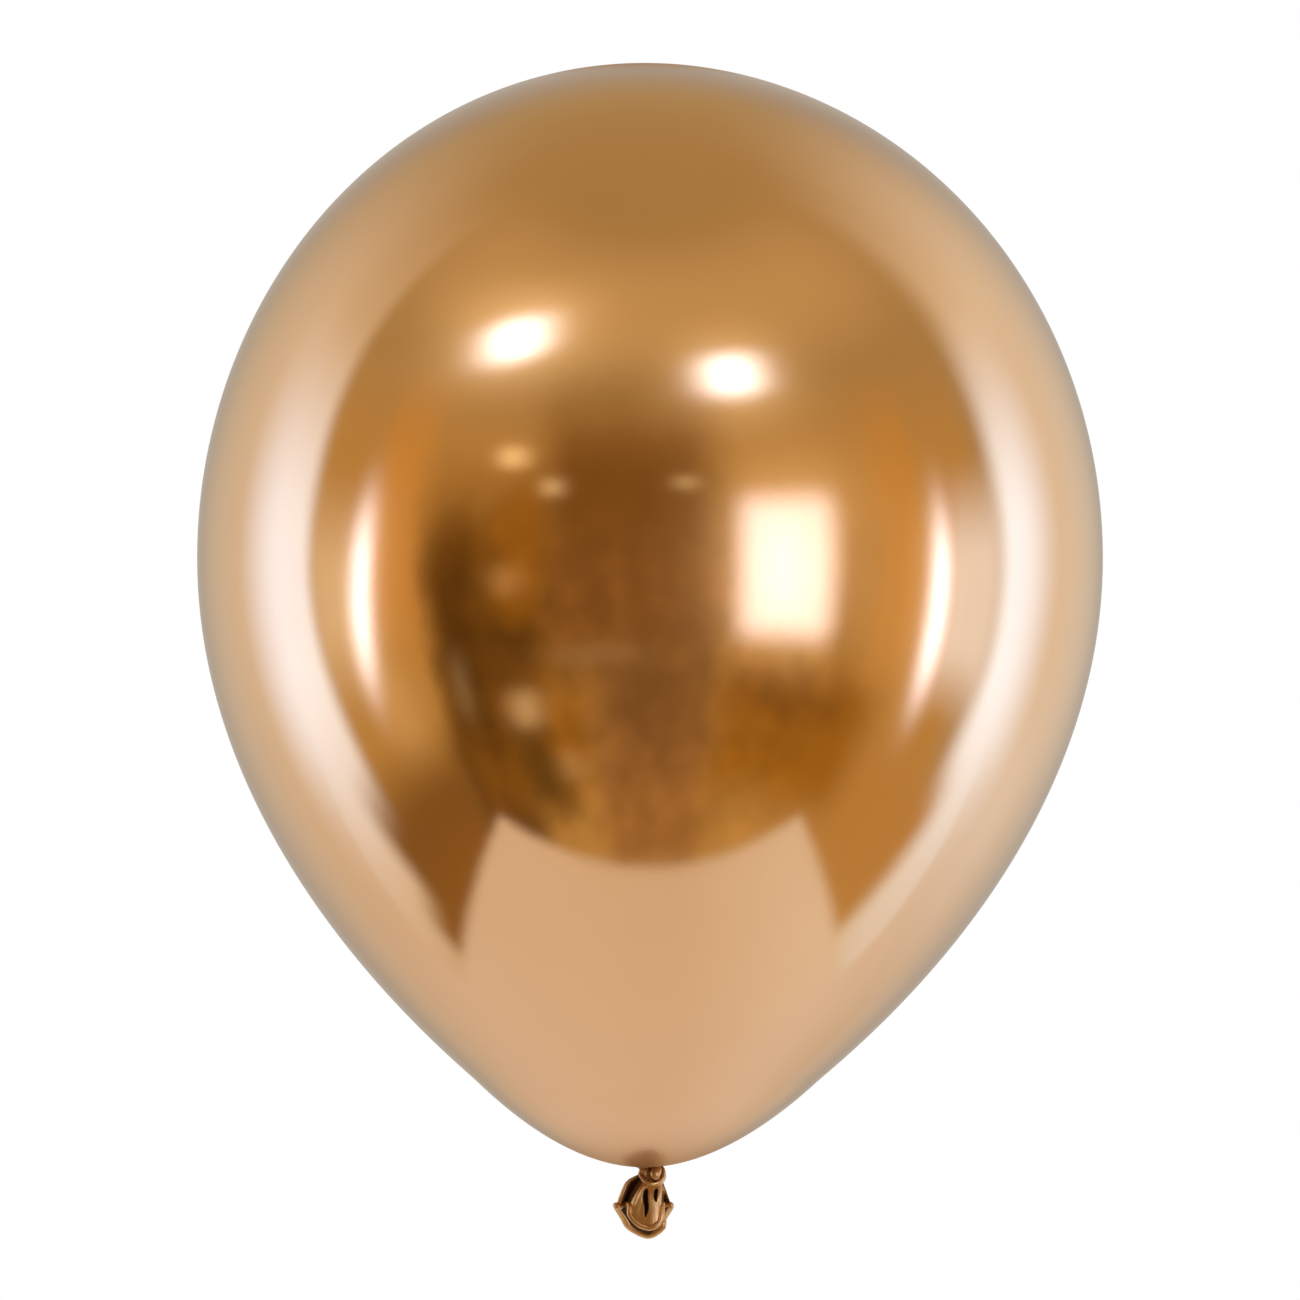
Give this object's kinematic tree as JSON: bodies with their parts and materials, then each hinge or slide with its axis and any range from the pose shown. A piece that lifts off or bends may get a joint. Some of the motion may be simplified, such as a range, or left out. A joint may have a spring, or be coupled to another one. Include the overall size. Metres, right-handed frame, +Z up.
{
  "type": "latex balloon",
  "caption": "Inflated teardrop-shaped latex balloon with a mirror-like copper skin, tied off in a knot below, with a short open tail that ends in a rolled rim.",
  "frame": {"origin": "on the balloon's axis, in the groove between the inflated body and the knot, where a ribbon is tied", "axes": "+Z up along the axis, from the knot to the crown; -Y is the front, where the knot's bulge and the tail's raised fold are; +X is to the right seen from the front"},
  "size_m": [0.2996, 0.2996, 0.3905],
  "materials": {
    "envelope_film": "polished",
    "neck_film": "gloss",
    "rim_bead": "gloss"
  },
  "bodies": {
    "inflated_body": {"envelope": "envelope_film"},
    "collar": {"neck_collar": "envelope_film"},
    "neck": {"neck_strand": "neck_film"},
    "knot": {"knot_loop": "neck_film", "knot_core": "neck_film"},
    "tail": {"tail_skirt": "neck_film", "tail_fold": "neck_film", "rolled_rim": "rim_bead"}
  },
  "joints": [
    {"name": "neck_twist", "type": "hinge", "parent": "inflated_body", "child": "collar", "pos_m": [0, 0, 0], "axis": [0, 0, 1], "range_deg": [-60, 60], "stiffness_Nm_per_rad": 0.002},
    {"name": "neck_sway", "type": "hinge", "parent": "collar", "child": "neck", "pos_m": [-0.0013, 0, -0.0016], "axis": [0, 1, 0], "range_deg": [-12, 12], "stiffness_Nm_per_rad": 0.002},
    {"name": "neck_nod", "type": "hinge", "parent": "neck", "child": "knot", "pos_m": [-0.0013, 0, -0.0016], "axis": [1, 0, 0], "range_deg": [-12, 12], "stiffness_Nm_per_rad": 0.002},
    {"name": "tail_flap", "type": "hinge", "parent": "knot", "child": "tail", "pos_m": [-0.0012, 0, -0.0082], "axis": [1, 0, 0], "range_deg": [-20, 35], "stiffness_Nm_per_rad": 0.0005}
  ]
}
